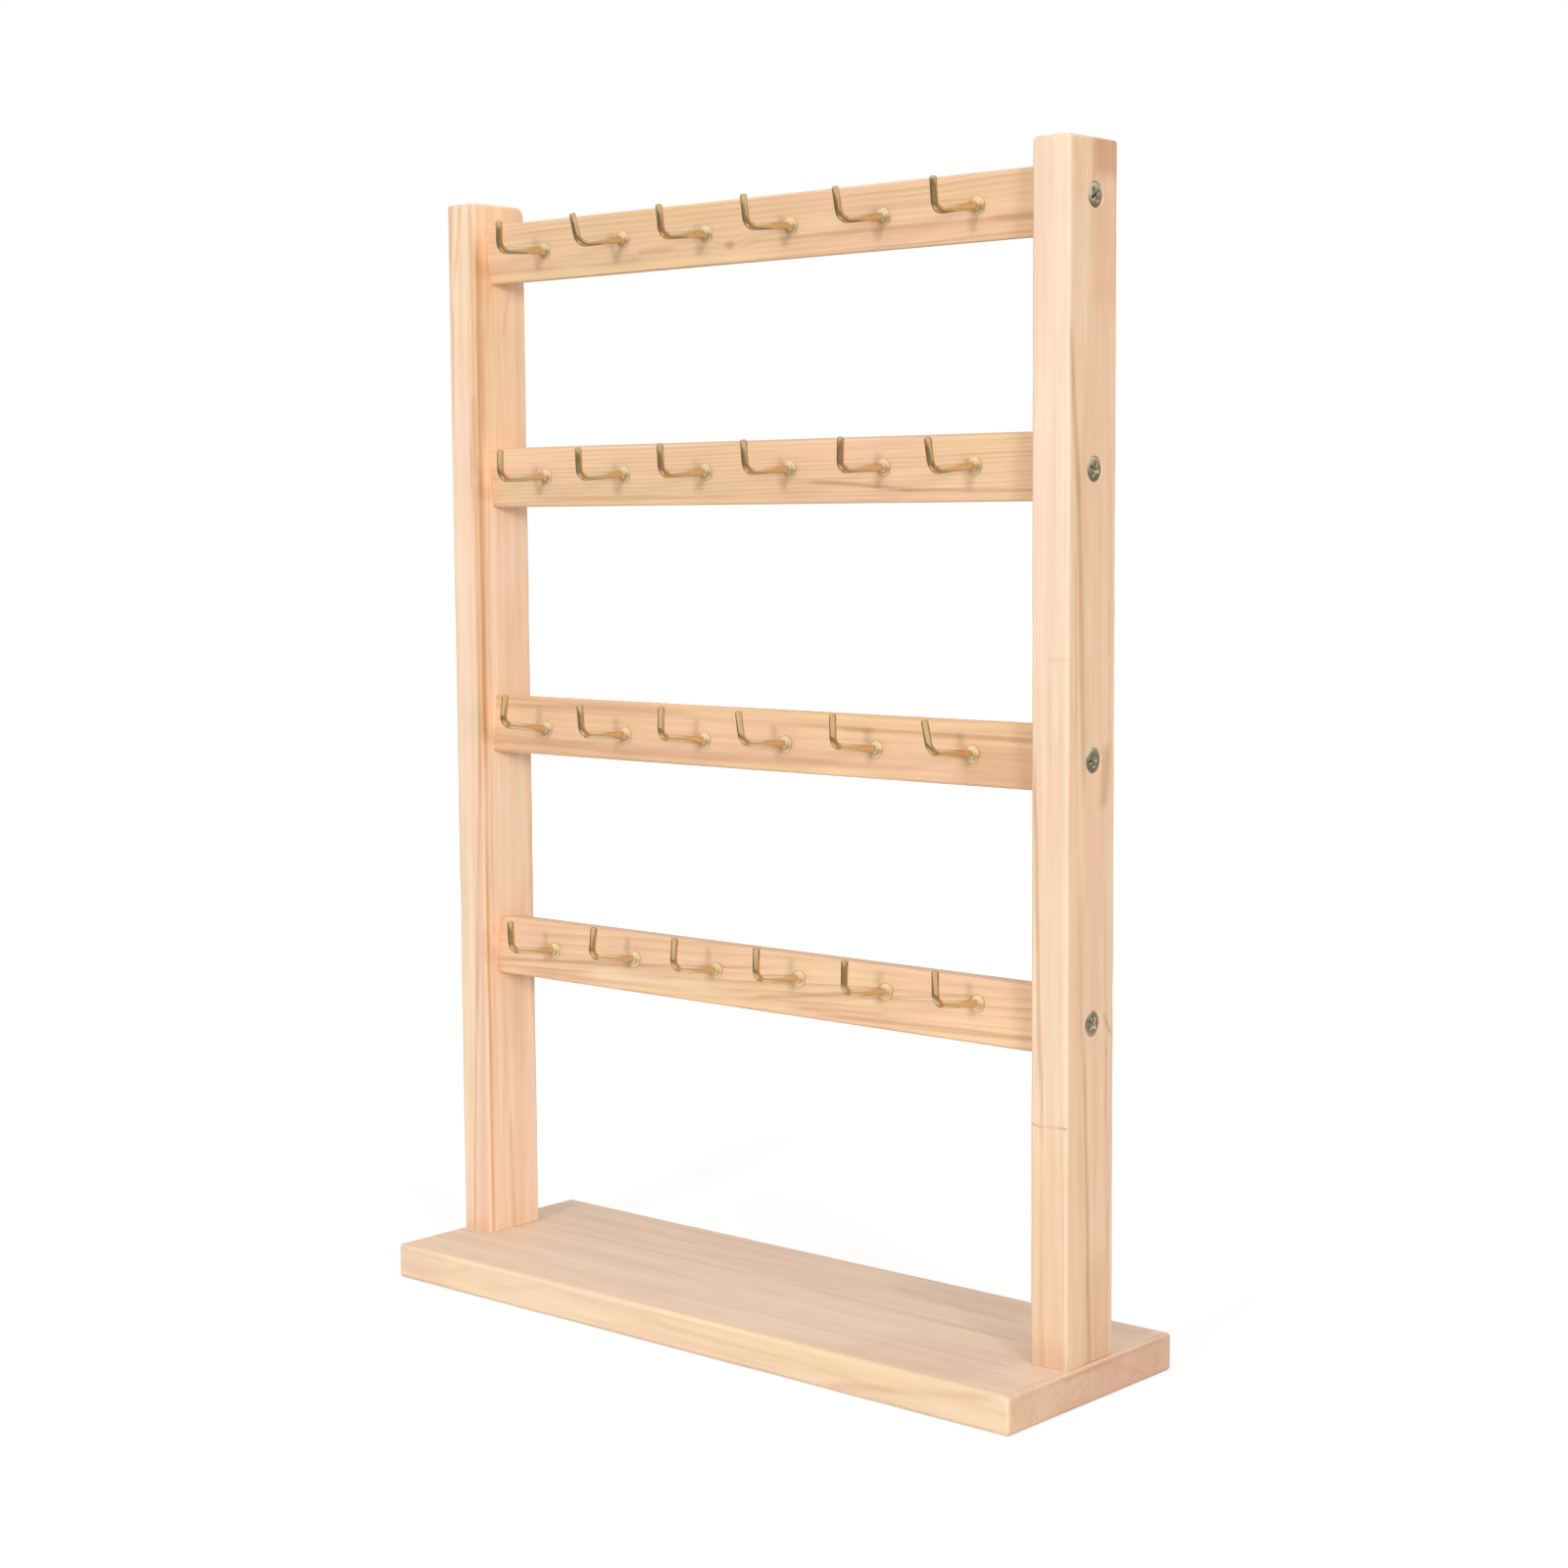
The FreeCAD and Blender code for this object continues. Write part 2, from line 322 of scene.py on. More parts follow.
# %% Draw the growth rings
RING_PROFILE = ((0.0, 0.0), (0.45, 0.12), (0.8, 0.7), (0.93, 1.0), (1.0, 0.0))
WANDERING, UNEVEN_RINGS, RAGGED_KNOT = (0.012, 0.04, 1), (0.03, 0.3, 2, 3), (0.4, 0.4, 1, 37)
KNOT_RAGS, KNOT_NARROWNESS, KNOT_REACH, KNOT_PUSH = 0.6, 0.35, 3.5, 0.8
RING_JITTER, FAINTEST_RING = 0.12, 0.35


def growth_rings(board, pith, lean, ring, wander, knots):
    """How much late wood shows, from 0 to 1, and how deep in a knot each place is."""
    sway_y, sway_z = (board.streaks(*WANDERING, number) * (wander / 4) for number in (0, 7))
    from_pith_y = board.y - (board.x * lean[0] + pith[0]) + sway_y
    from_pith_z = board.z - (board.x * lean[1] + pith[1]) + sway_z
    radius = (from_pith_y * from_pith_y + from_pith_z * from_pith_z) ** 0.5
    cores = 0
    for knot_x, knot_z, size in knots:
        away_x = board.x - knot_x + board.streaks(*RAGGED_KNOT) * KNOT_RAGS
        away_z = board.z - knot_z
        away = (away_x * away_x * KNOT_NARROWNESS + away_z * away_z) ** 0.5
        radius = radius + board.ease(away, 0, size * KNOT_REACH, size * KNOT_PUSH, 0)
        cores = board.ease(away, 0, size, 1, 0) + cores
    count = radius / ring + board.streaks(*UNEVEN_RINGS) * RING_JITTER
    whole = count.sum("FLOOR", count)
    unlike = board.node("TexWhiteNoise", {"noise_dimensions": "1D"}, {"W": whole + board.seed * 3.7})
    line = board.node("ValToRGB", {"stops": RING_PROFILE}, {0: count - whole})
    return line * (unlike * (1 - FAINTEST_RING) + FAINTEST_RING), cores


# %% [markdown]
# Rings alone look like any pine. What makes a board itself is a handful of marks: a dark line that drifts
# across a face, a band of honey or rose, a knot, a dent. Each of those is one row in a table that says
# which kind of face it is on, where it starts and ends, how high it lies, its slope, half its width, how
# strong it is and its tone. A mark fades out towards its ends and sides, and only a broad one is even in
# its middle. The same few nodes draw them all. A few rows are painted shade or shadow instead of grain,
# and a comment beside each says so.

# %% Lay placed grain over the rings
HONEY, ROSE, BROWN, CREAM, RED = 0, 1, 2, 3, 4
FULL_PART, SOFT_SIDE, FLAT_PART = 0.6, 3, 0.85
FINE_WOBBLE, BROAD_WOBBLE, PATCHY = (0.030, 2.4, 1, 41), (0.025, 0.2, 1, 43), (0.02, 0.8, 2, 47)
FINE_SHARE, BROAD_SHARE, PATCHY_SHARE = 0.12, 0.35, 0.35


def mark_on(board, mark, wobble):
    """A mark on one kind of face: its strength along its middle and 0 away from it."""
    face, start, end, height, slope, width, strength, _ = mark
    along, across, shown = {"front": (board.x, board.z, board.on_front),
                            "side": (board.x, board.y, board.on_side),
                            "end": (board.y, board.z, board.on_end),
                            "cross": (board.z, board.x, board.on_front)}[face]
    along = along - (start + end) / 2
    away = abs(across + wobble - (along * slope + height))
    half = (end - start) / 2
    window = board.ease(abs(along), half * FULL_PART, half, 1, 0)
    return board.ease(away, max(0, width - SOFT_SIDE) * FLAT_PART, width, strength, 0) * window * shown


def with_marks(board, colour, marks, tones):
    """The colour of a board with all its marks laid over it."""
    wobble = board.streaks(*FINE_WOBBLE) * FINE_SHARE + board.streaks(*BROAD_WOBBLE) * BROAD_SHARE
    uneven = board.streaks(*PATCHY) * PATCHY_SHARE + 1
    for mark in marks:
        colour = board.mix(mark_on(board, mark, wobble) * uneven, colour, tones[mark[-1]])
    return colour


# %% Make a pine finish
PLAIN = (1, 1, 1)
END_TINT = (0.90, 0.80, 0.77)
WARM, COOL = (0.009, 0.15, 2, 23), (0.011, 0.12, 2, 29)
PATCH_FROM, PATCH_BY, PATCH_COLOUR = -0.1, 0.8, 0.8
FIBRE, STRAND = (0.030, 2.4, 3, 11), (0.012, 0.55, 2, 13)
BROAD, CLOUD = (0.006, 0.09, 2, 17), (0.03, 0.07, 2, 19)
FIBRE_SHADE, STRAND_SHADE, BROAD_SHADE, CLOUD_SHADE = 0.05, 0.07, 0.07, 0.035
RED_SHARE, GREEN_SHARE, BLUE_SHARE = 0.75, 1.0, 1.3
KNOT_COLOUR, KNOT_DARKNESS = 0.6, 0.8
ROUGHNESS, FIBRE_ROUGHNESS, SHINE = 0.60, 0.05, 0.35
FIBRE_RELIEF, RING_RELIEF, PORE_RELIEF = 0.15, 0.5, 0.3
BUMP_STRENGTH, BUMP_HEIGHT = 0.25, 0.0004


def pine(name, centre, rotation, seed, pith, lean, ring, pale, late, tones, marks=(), knots=(),
         wander=3.0, contrast=1.0, grain_axis=0, mottle=1.0, front_tone_and_shade=PLAIN, side_tone_and_shade=PLAIN,
         end_tint=END_TINT):
    """Bare pine. Lengths are in millimetres, and the pith and the marks lie in the board's own frame.

    The pale and late colours are the two parts of a ring. The tones are honey, rose, brown and cream, and
    the right post has a reddish brown as well.
    """
    material = bpy.data.materials.new(name)
    material.use_nodes = True
    board = Board(material, centre, rotation, grain_axis, seed)
    late_wood, cores = growth_rings(board, pith, lean, ring, wander, knots)
    late_wood = late_wood * contrast

    colour = board.mix(late_wood, pale, late)
    for streaks, tone in ((board.streaks(*WARM), HONEY), (board.streaks(*COOL), ROSE)):
        share = board.ease(streaks, PATCH_FROM, PATCH_BY, 0, PATCH_COLOUR * mottle)
        colour = board.mix(share, colour, tones[tone])
    colour = with_marks(board, colour, marks, tones)
    if knots:
        knot_tone = [KNOT_DARKNESS * value for value in tones[BROWN]]
        colour = board.mix(cores * KNOT_COLOUR, colour, knot_tone)

    fibre, strand, broad, cloud = (board.streaks(*kind) for kind in (FIBRE, STRAND, BROAD, CLOUD))
    shade = fibre * FIBRE_SHADE + strand * STRAND_SHADE + broad * BROAD_SHADE + cloud * CLOUD_SHADE
    red, green, blue = (shade * share + 1 for share in (RED_SHARE, GREEN_SHARE, BLUE_SHARE))
    shading = board.node("CombineColor", inputs={0: red, 1: green, 2: blue})
    colour = board.mix(1.0, colour, shading, "MULTIPLY")
    # The front and side tints are partly each sawn face's own tone and partly painted shade: a whole kind of
    # face is made lighter or darker for how the light falls on it.
    for shown, tint in ((board.on_front, front_tone_and_shade), (board.on_side, side_tone_and_shade), (board.on_end, end_tint)):
        if tint != PLAIN:
            colour = board.mix(shown, colour, board.mix(1.0, colour, tint, "MULTIPLY"))

    pores = board.noise(board.place, 3.0, 3, seed + 31)
    surface = material.node_tree.nodes["Principled BSDF"]
    board.feed(surface.inputs["Base Color"], colour)
    board.feed(surface.inputs["Roughness"], ROUGHNESS + fibre * FIBRE_ROUGHNESS)
    board.feed(surface.inputs["Specular IOR Level"], SHINE)
    relief = fibre * FIBRE_RELIEF + late_wood * RING_RELIEF + board.on_end * pores * PORE_RELIEF
    bump = board.node("Bump", inputs={"Strength": BUMP_STRENGTH, "Distance": BUMP_HEIGHT, "Height": relief})
    board.feed(surface.inputs["Normal"], bump)
    print(name, "has", len(board.tree.nodes), "nodes")
    return material


# %% [markdown]
# ## Seven boards
#
# The base board is a wide plank, the posts are square-cut and the rails are strips, all sawn a few
# centimetres from the pith. One finish could serve them all, but a repeated grain is the first thing that
# an eye finds. So each board has its own seed, its own pith, its own width of ring and its own marks. The
# sizes and places of the boards come first, because a grain has to lie where its board lies.

# %% Name the boards' sizes and places
BASE_SIZE, POST_SIZE, RAIL_SIZE = (300, 95, 13.5), (406.5, 27, 15), (267, 15, 22.5)
POST_MIDDLE, POST_HEIGHT, RAIL_MIDDLE_Y = 141.0, 216.75, 1.0
RAIL_PLACES = (("top_rail", 401.0, 6), ("upper_rail", 314.5, 4),
               ("lower_rail", 217.5, -5), ("bottom_rail", 129.0, -7))
for name, height, tilt in RAIL_PLACES:
    print("the", name, "is", height, "millimetres up and turned by", tilt, "degrees")

# %% Paint the base board
BASE_MARKS = (
    # The first mark, a dark streak running up to the right post, is partly grain and partly painted shadow of
    # that post.
    ("side", 5, 125, 6, -0.02, 3.2, 0.36, BROWN), ("side", 32, 108, 26, -0.07, 4, 0.26, BROWN),
    ("side", -110, -16, -9, 0, 2.6, 0.18, BROWN), ("side", -128, -20, 8.5, 0, 2.2, 0.15, BROWN),
    ("side", -130, -45, 22, -0.03, 6, 0.45, CREAM), ("side", -75, 5, -21, 0, 6, 0.4, CREAM),
    ("side", -60, -36, 33, -0.5, 6, 0.35, ROSE), ("side", -150, 150, -46, 0, 4, 0.5, HONEY),
    ("side", 60, 150, -34, 0, 9, 0.3, ROSE), ("side", 70, 135, -27, 0, 20, 0.18, BROWN),
    ("front", -20, 98, 0.7, -0.012, 1.8, 0.5, BROWN), ("front", 64, 146, 0, 0.15, 3.2, 0.9, ROSE),
    ("front", 66, 150, 0.3, 0.14, 2.4, 0.45, BROWN), ("front", 20, 70, -1, 0.03, 1.6, 0.6, HONEY),
    ("front", -8, 60, -3.4, -0.02, 1.2, 0.22, BROWN), ("front", -142, -104, 0.5, 0.22, 1.8, 0.22, BROWN),
    ("front", -108, -66, 0.2, 0.2, 1.8, 0.2, BROWN), ("front", -62, 2, 3, -0.02, 1.1, 0.28, BROWN),
    ("front", -40, 60, -5.4, 0, 3, 0.5, ROSE), ("front", -150, -120, 0, 0, 9, 0.5, ROSE),
    ("front", -20, 150, 3.5, 0, 6, 0.5, HONEY), ("end", -14, 110, 0, 0, 10, 0.32, BROWN),
    # Painted shade along the base's end edges: the brown lines 5.5 and 5 mm up the end faces, and the brown
    # band on the top at the right end, darken the rounded edge there.
    ("end", -14, 110, 0, 0, 10, 0.4, ROSE), ("end", -49, 49, 5.5, 0, 1.1, 0.45, BROWN),
    ("side", 147, 153, 0, 0, 60, 0.35, BROWN), ("end", -80, -14, 0, 0, 10, 0.4, HONEY),
    ("end", -20, 12, 5, 0, 1.6, 0.4, BROWN), ("end", 8, 34, 0, -0.42, 2, 0.25, BROWN),
    ("end", -24, -11, -5.9, 0, 0.9, 0.5, BROWN),
)
BASE_TONES = ((0.84, 0.63, 0.41), (0.82, 0.56, 0.45), (0.62, 0.38, 0.23), (0.87, 0.68, 0.54))
# The base's front tint is partly the face's own tone and partly painted shade for the light on that face.
base_pine = pine("base pine", (0, 0, BASE_SIZE[2] / 2), (0, 0, 0), seed=4.0, pith=(14, -38),
                 lean=(0.02, 0.012), ring=4.2, pale=(0.84, 0.635, 0.475), late=(0.76, 0.53, 0.38),
                 tones=BASE_TONES, marks=BASE_MARKS, contrast=0.55, wander=7.0, mottle=0.6,
                 front_tone_and_shade=(1.02, 1.02, 0.93), end_tint=(0.885, 0.79, 0.73))

# %% Paint the left post
UPRIGHT = (0, -math.pi / 2, 0)
LEFT_MARKS = (
    ("front", -70, 228, -7.2, 0, 3.2, 0.75, BROWN), ("front", 96, 132, -6.4, 0, 3, 0.7, BROWN),
    ("front", 78, 116, -4.6, 0.06, 1.4, 0.5, BROWN), ("front", -20, 60, -6.2, -0.01, 2, 0.3, BROWN),
    ("front", -130, 5, -4.2, -0.04, 2, 0.85, BROWN), ("front", -230, -112, 0.6, -0.035, 1.5, 0.5, BROWN),
    ("front", -240, 0, -7, -0.03, 7, 0.6, ROSE), ("front", -240, -20, -7.5, -0.02, 6, 0.22, BROWN),
    ("front", 166, 244, -0.3, -0.127, 1.4, 0.42, BROWN), ("front", 172, 240, 6, -0.08, 4.4, 0.4, BROWN),
    ("front", 110, 172, 5.2, -0.02, 1.2, 0.42, BROWN), ("front", -150, 150, 3.8, 0, 5, 0.45, CREAM),
    # The first mark here, a brown band over the lowest few millimetres of the front, is painted shade where
    # the post stands on the base.
    ("front", -235, -195, 0, 0, 12, 0.3, BROWN), ("side", 141, 194, -8.6, 0.15, 4.6, 0.85, BROWN),
    ("side", 104, 196, -11, 0, 3.6, 0.95, BROWN), ("side", 150, 215, -4, 0, 8, 0.5, HONEY),
    ("side", -30, 160, -12, 0, 2.4, 1, BROWN), ("side", -30, 175, -10.8, 0, 3.6, 0.3, BROWN),
    ("side", -84, -79, -8.4, -0.8, 0.8, 0.4, BROWN), ("side", 105, 165, 0, 0, 14, 0.19, BROWN),
    ("side", 95, 175, 0, 0, 14, 0.45, HONEY), ("side", 160, 240, 2, 0, 12, 0.35, HONEY),
    ("side", 170, 240, 8, 0, 8, 0.2, BROWN), ("side", -235, -10, -11.9, 0, 1.7, 0.6, BROWN),
    ("side", -220, -150, -1, -0.02, 1.6, 0.35, BROWN), ("side", -150, -60, 6, 0.01, 3, 0.22, BROWN),
    ("side", 20, 100, 3, 0, 5, 0.4, ROSE), ("side", 150, 175, 3, 0.2, 1.2, 0.28, BROWN),
    ("side", -100, 0, -2, 0, 4, 0.4, CREAM),
)
LEFT_TONES = ((0.87, 0.60, 0.35), (0.88, 0.58, 0.44), (0.62, 0.34, 0.16), (0.91, 0.70, 0.53))
# The inner side tint is partly the face's own tone and partly painted light for the light on that face.
left_pine = pine("left post pine", (-POST_MIDDLE, 0, POST_HEIGHT), UPRIGHT, seed=9.0, pith=(16, -30),
                 lean=(0.02, 0.01), ring=3.4, pale=(0.88, 0.66, 0.47), late=(0.78, 0.48, 0.27),
                 tones=LEFT_TONES, marks=LEFT_MARKS, contrast=0.75, mottle=0.8, grain_axis=2,
                 side_tone_and_shade=(1.03, 0.985, 0.97))

# %% Paint the right post
RIGHT_MARKS = (
    ("side", 187, 226, 9, 0, 11, 0.6, RED), ("side", 146, 192, 9, 0, 10, 0.34, BROWN),
    ("side", 160, 225, -0.6, 0, 1.2, 0.3, BROWN), ("side", 130, 190, -7, 0, 5, 0.35, CREAM),
    ("side", 138, 192, 6.8, 0, 9, 0.5, ROSE), ("side", 80, 150, -10.6, -0.09, 2.4, 0.55, BROWN),
    ("side", -20, 112, -6.4, -0.035, 2.6, 0.5, BROWN), ("side", 0, 78, -9.4, -0.02, 1.2, 0.3, BROWN),
    ("side", -100, -40, -5.6, 0, 2.6, 0.32, BROWN), ("side", -235, -80, -1.6, -0.035, 1.8, 0.6, BROWN),
    ("side", -18, 8, 7.6, 0.1, 3.6, 0.5, BROWN), ("side", -126, -92, 8.8, 0.02, 1.2, 0.4, BROWN),
    ("side", -172, -148, 10, 0, 1.4, 0.3, BROWN), ("side", 34, 56, 9.4, 0, 1, 0.3, BROWN),
    ("side", -100, -10, 2, 0, 5, 0.55, ROSE), ("side", -150, -60, -10, 0, 3, 0.4, HONEY),
    ("side", -240, -160, 4, 0, 9, 0.35, BROWN), ("side", -93, -84, 9.4, -0.5, 1.5, 0.6, BROWN),
    ("cross", -9.5, 1, 34.2, 0, 0.9, 0.4, BROWN), ("cross", -9.5, 9.5, -121, -0.03, 0.8, 0.35, BROWN),
    ("cross", -10, -3, -120.8, 0, 1, 0.4, BROWN), ("cross", 2, 8.5, -121.2, 0.1, 1, 0.4, BROWN),
    ("front", -124, 12, 4.6, 0.025, 1.4, 0.6, BROWN), ("front", -230, -96, 2.8, 0.01, 1.4, 0.42, BROWN),
    ("front", 20, 86, 7.2, 0, 0.8, 0.3, BROWN), ("front", 0, 260, 0, 0, 12, 0.5, CREAM),
    # The last mark here, a brown band over the lowest few millimetres of the front, is painted shade where
    # the post stands on the base.
    ("front", -240, -110, 2, 0, 9, 0.45, HONEY), ("front", -240, -190, 0, 0, 12, 0.25, BROWN),
)
RIGHT_TONES = ((0.84, 0.59, 0.37), (0.84, 0.55, 0.39), (0.58, 0.31, 0.16), (0.88, 0.68, 0.53),
               (0.55, 0.26, 0.14))
# Both tints are partly the faces' own tone and partly painted shade for the light on each face.
right_pine = pine("right post pine", (POST_MIDDLE, 0, POST_HEIGHT), UPRIGHT, seed=15.0, pith=(-22, 26),
                  lean=(-0.015, 0.01), ring=4.0, pale=(0.86, 0.63, 0.445), late=(0.78, 0.49, 0.30),
                  tones=RIGHT_TONES, marks=RIGHT_MARKS, contrast=0.55, mottle=0.7, grain_axis=2,
                  side_tone_and_shade=(0.965, 0.925, 0.875), front_tone_and_shade=(0.97, 0.975, 0.985))

# %% Paint the rails
RAIL_LATE = (0.66, 0.39, 0.20)
RAIL_TONES = ((0.84, 0.59, 0.33), (0.83, 0.50, 0.34), (0.50, 0.26, 0.12), (0.87, 0.64, 0.43))
RAIL_GRAINS = {
    "top_rail": ((4, -30), (0.0, 0.01), 1.9, 21.0, (0.79, 0.54, 0.33), (
        ("front", 0, 136, -4.3, -0.004, 1.3, 0.42, BROWN), ("front", 108, 150, -4.3, 0, 2, 0.5, BROWN),
        ("front", -150, -88, -7, 0, 1.4, 0.45, BROWN), ("front", -88, -46, -7.2, 0.03, 1.6, 0.32, BROWN),
        ("front", -54, -32, -4.2, 0.02, 1.5, 0.32, BROWN), ("front", -160, 30, -9, 0, 3, 0.7, HONEY),
        ("front", -30, 150, -7.6, 0, 1.8, 0.45, ROSE), ("front", 40, 110, 3.4, 0, 1.2, 0.3, BROWN),
    ), ((-6, -4.7, 2.4),)),
    "upper_rail": ((3, -34), (0.0, 0.015), 1.5, 27.0, (0.81, 0.55, 0.34), (
        ("front", 26, 84, -5, -0.085, 1.3, 0.6, BROWN), ("front", 62, 150, -7.2, -0.006, 1.3, 0.55, BROWN),
        ("front", -112, 16, -8.2, 0, 1.2, 0.35, BROWN), ("front", -128, -96, 3, 0, 4, 0.5, ROSE),
        ("front", 40, 120, -9, 0, 2, 0.5, ROSE), ("front", 70, 140, 1, 0, 3, 0.3, HONEY),
    ), ()),
    "lower_rail": ((6, 30), (0.0, -0.01), 2.6, 33.0, (0.79, 0.51, 0.31), (
        ("front", -140, -20, 7.6, 0.004, 1.5, 0.42, BROWN),
        ("front", 10, 150, 5.6, -0.008, 1.5, 0.48, BROWN), ("front", 44, 62, 5.4, 0, 1.8, 0.4, BROWN),
        ("front", 84, 102, 5.2, 0, 1.8, 0.35, BROWN), ("front", -60, 150, -6, -0.004, 3.6, 0.75, ROSE),
        ("front", -140, -60, -6.5, 0, 2, 0.4, BROWN), ("front", -90, 70, -7.2, 0.005, 2.4, 0.42, BROWN),
        # The last mark, brown over the right end, is partly the rail's tone and partly painted shadow of the
        # right post.
        ("front", 88, 180, -5, 0, 9, 0.36, BROWN),
    ), ()),
    "bottom_rail": ((-5, -26), (0.0, 0.055), 3.2, 41.0, (0.83, 0.56, 0.355), (
        ("front", -140, -70, -4, 0.075, 1.3, 0.5, BROWN), ("front", -84, 24, 1.4, 0.085, 1.2, 0.48, BROWN),
        ("front", -4, 66, -3, 0.14, 1.3, 0.5, BROWN), ("front", 20, 70, -7, 0.05, 1.2, 0.4, BROWN),
        ("front", 44, 112, 1.6, 0.12, 1.2, 0.38, BROWN), ("front", 26, 150, -8, 0.027, 1.4, 0.45, BROWN),
        ("front", -130, -20, -8.5, 0.02, 1.6, 0.35, BROWN), ("front", 60, 140, 6, 0.05, 2.4, 0.4, ROSE),
        ("front", -140, -104, 5, 0, 6, 0.5, ROSE), ("front", -90, 0, -6, 0.01, 4, 0.6, CREAM),
    ), ()),
}
rail_pines = {}
for name, height, tilt in RAIL_PLACES:
    pith, lean, ring, seed, pale, marks, knots = RAIL_GRAINS[name]
    rail_pines[name] = pine(name.replace("_", " ") + " pine", (0, RAIL_MIDDLE_Y, height),
                            (math.radians(tilt), 0, 0), seed=seed, pith=pith, lean=lean, ring=ring,
                            pale=pale, late=RAIL_LATE, tones=RAIL_TONES, marks=marks, knots=knots,
                            mottle=0.9)

# %% [markdown]
# ## The screw hooks
#
# Each hook is one length of brass-plated wire: a pointed, threaded shank that the rail hides, a round
# collar pressed up out of the wire, an arm, a bend and an upright tip. Everything up to the bend is round
# about one line, so it is turned like a part on a lathe: a few vertices draw half of its outline and a
# full spin sweeps them round. A second spin carries the open end round the bend, and extrusions finish
# the tip. A curve with a bevel would also make the wire, but not the collar, the thread or the point.

# %% Draw half of a hook's outline
WIRE, REACH, TIP_HEIGHT, BEND = 1.25, 23.4, 11.3, 3.5
COLLAR, COLLAR_FRONT = 3.15, 1.2
THREAD_START, THREAD_END = 0.9, 8.9
THREAD_PITCH, THREAD_DEPTH = 1.25, 0.28

hook_point = [(9.5, 0.0), (9.47, 0.16), (9.35, 0.32), (8.4, 0.72), (7.5, 1.08), (7.0, WIRE)]
hook_thread = [(7.0 - 0.16 * number, WIRE) for number in range(1, 39)]
hook_collar = [(0.75, WIRE), (0.0, WIRE), (0.0, 2.9), (-0.06, 3.08), (-0.2, COLLAR), (-0.36, 3.14),
               (-0.56, 3.04), (-0.76, 2.84), (-0.93, 2.55), (-1.06, 2.2), (-1.15, 1.85),
               (-COLLAR_FRONT, 1.6), (-1.32, 1.42), (-1.6, 1.3), (-2.1, WIRE)]
hook_arm = [(-4.0, WIRE), (-12.0, WIRE), (BEND - REACH, WIRE)]
HOOK_OUTLINE = hook_point + hook_thread + hook_collar + hook_arm
print("a hook's outline has", len(HOOK_OUTLINE), "points")

# %% Turn it on a lathe and cut its thread
TOUCHING = 1e-4
THREAD_CORE, GROOVE_SLOPE = 0.4, 2.6


def turned(outline, steps):
    """A shape swept once round Y from points that give a place along Y and a radius."""
    shape = bmesh.new()
    corners = [shape.verts.new((radius, along, 0)) for along, radius in outline]
    sides = [shape.edges.new(pair) for pair in zip(corners, corners[1:])]
    bmesh.ops.spin(shape, geom=corners + sides, cent=(0, 0, 0), axis=(0, 1, 0), angle=math.tau,
                   steps=steps, use_merge=True)
    bmesh.ops.remove_doubles(shape, verts=shape.verts, dist=TOUCHING)
    return shape


def cut_thread(shape, start, end, pitch, depth):
    """Sink a groove that winds along Y, shallow at both of its ends."""
    for vert in shape.verts:
        along, radius = vert.co.y, math.hypot(vert.co.x, vert.co.z)
        if start < along < end and radius > THREAD_CORE:
            winding = (along / pitch + math.atan2(vert.co.z, vert.co.x) / math.tau) % 1
            fade = min(1, (along - start) / pitch, (end - along) / pitch)
            groove = min(1, GROOVE_SLOPE * abs(winding - 0.5))
            sunk = depth * fade * groove * min(1, radius / WIRE)
            vert.co.x *= 1 - sunk / radius
            vert.co.z *= 1 - sunk / radius


def open_ring(shape):
    return [edge for edge in shape.edges if edge.is_boundary]


def corners_of(edges):
    return list({vert for edge in edges for vert in edge.verts})


# %% Bend the wire and round its tip
ROUND_STEPS, BEND_STEPS = 20, 9
TIP_RINGS = ((0.0, 1.0), (0.31, 0.95), (0.57, 0.81), (0.74, 0.60), (0.80, 0.36))


def carried_on(shape, ring, rise, size=1.0):
    """Draw an open ring upwards, to a new share of its width."""
    made = bmesh.ops.extrude_edge_only(shape, edges=ring)["geom"]
    corners = [item for item in made if isinstance(item, bmesh.types.BMVert)]
    centre = sum((vert.co for vert in corners), Vector()) / len(corners)
    for vert in corners:
        vert.co = centre + (vert.co - centre) * size + Vector((0, 0, rise))
    return [item for item in made if isinstance(item, bmesh.types.BMEdge)]


def bent_hook():
    """A hook along Y with its collar's back at the origin and its tip up."""
    shape = turned(HOOK_OUTLINE, ROUND_STEPS)
    cut_thread(shape, THREAD_START, THREAD_END, THREAD_PITCH, THREAD_DEPTH)
    ring = open_ring(shape)
    swept = bmesh.ops.spin(shape, geom=ring + corners_of(ring), cent=(0, BEND - REACH, BEND),
                           axis=(1, 0, 0), angle=-math.pi / 2, steps=BEND_STEPS)
    ring = [item for item in swept["geom_last"] if isinstance(item, bmesh.types.BMEdge)]
    ring = carried_on(shape, ring, (TIP_HEIGHT - BEND) * 0.5)
    ring = carried_on(shape, ring, (TIP_HEIGHT - BEND) * 0.5 - TIP_RINGS[-1][0])
    for (height, width), (next_height, next_width) in zip(TIP_RINGS, TIP_RINGS[1:]):
        ring = carried_on(shape, ring, next_height - height, next_width / width)
    bmesh.ops.contextual_create(shape, geom=ring)
    bmesh.ops.remove_doubles(shape, verts=shape.verts, dist=TOUCHING)
    bmesh.ops.recalc_face_normals(shape, faces=shape.faces)
    return shape


sample = bent_hook()
print("a hook has", len(sample.faces), "faces and", len(open_ring(sample)), "open edges, and holds",
      round(sample.calc_volume()), "cubic millimetres")
sample.free()

